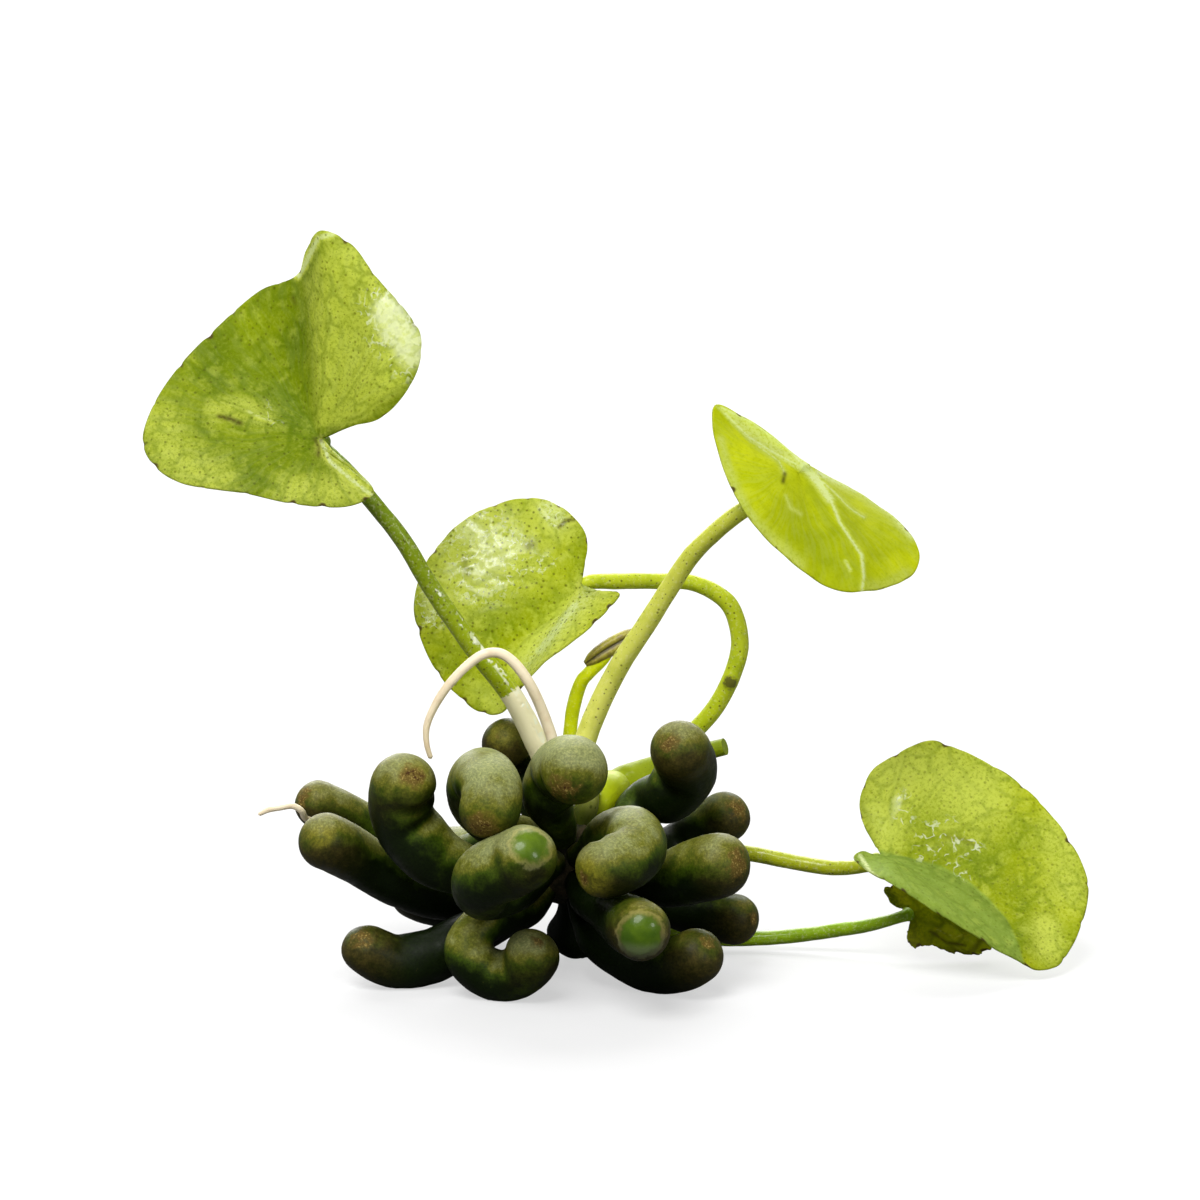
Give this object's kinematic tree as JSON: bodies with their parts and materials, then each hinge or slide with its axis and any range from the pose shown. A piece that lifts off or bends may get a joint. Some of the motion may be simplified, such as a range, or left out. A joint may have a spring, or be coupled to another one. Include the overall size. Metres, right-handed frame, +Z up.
{
  "type": "aquarium banana plant",
  "caption": "Uprooted aquarium banana plant: a cluster of dark green banana-shaped tubers with stalked heart-shaped floating leaves, a young shoot and thin cream roots.",
  "frame": {"origin": "middle of the plant's bounding box, on the surface that its lowest tubers rest on", "axes": "+X to the right in the front view, +Y away from the front, +Z up"},
  "size_m": [0.1135, 0.0542, 0.09],
  "materials": {
    "tuber_skin": "waxy dark green skin with a grey bloom, brown tips",
    "crown_tissue": "dull brown-green",
    "green_stalk": "smooth, wet",
    "pale_stalk": "smooth, dotted",
    "cream_root": "smooth, slightly see-through",
    "bud_tissue": "satin",
    "fresh_leaf": "glossy, wet, lets light through",
    "old_leaf": "dull, rotting"
  },
  "bodies": {
    "root": {"crown": "crown_tissue", "tuber_left_upper": "tuber_skin", "tuber_left_middle": "tuber_skin", "tuber_left_hook": "tuber_skin", "tuber_left_lower": "tuber_skin", "tuber_left_foot": "tuber_skin", "tuber_top_left": "tuber_skin", "tuber_front_curl": "tuber_skin", "tuber_top_front": "tuber_skin", "tuber_front_finger": "tuber_skin", "tuber_front_bend": "tuber_skin", "tuber_front_point": "tuber_skin", "tuber_front_foot": "tuber_skin", "tuber_right_hook": "tuber_skin", "tuber_right_upper": "tuber_skin", "tuber_right_middle": "tuber_skin", "tuber_right_lower": "tuber_skin", "tuber_right_foot": "tuber_skin", "tuber_back_left": "tuber_skin", "tuber_back_top": "tuber_skin", "tuber_back_right": "tuber_skin", "tuber_back_side": "tuber_skin", "tuber_back_foot_left": "tuber_skin", "tuber_back_foot_right": "tuber_skin", "tuber_under": "tuber_skin", "petiole_upper_left": "green_stalk", "petiole_arched": "green_stalk", "petiole_upright": "pale_stalk", "petiole_right": "green_stalk", "petiole_old_leaf": "green_stalk", "shoot": "green_stalk", "cut_stalk": "green_stalk", "rolled_leaf": "bud_tissue", "root_arch": "cream_root", "root_left": "cream_root", "blade_upper_left": "fresh_leaf", "blade_centre": "fresh_leaf", "blade_upper_right": "fresh_leaf", "blade_right": "fresh_leaf", "blade_old": "old_leaf"}
  },
  "joints": []
}
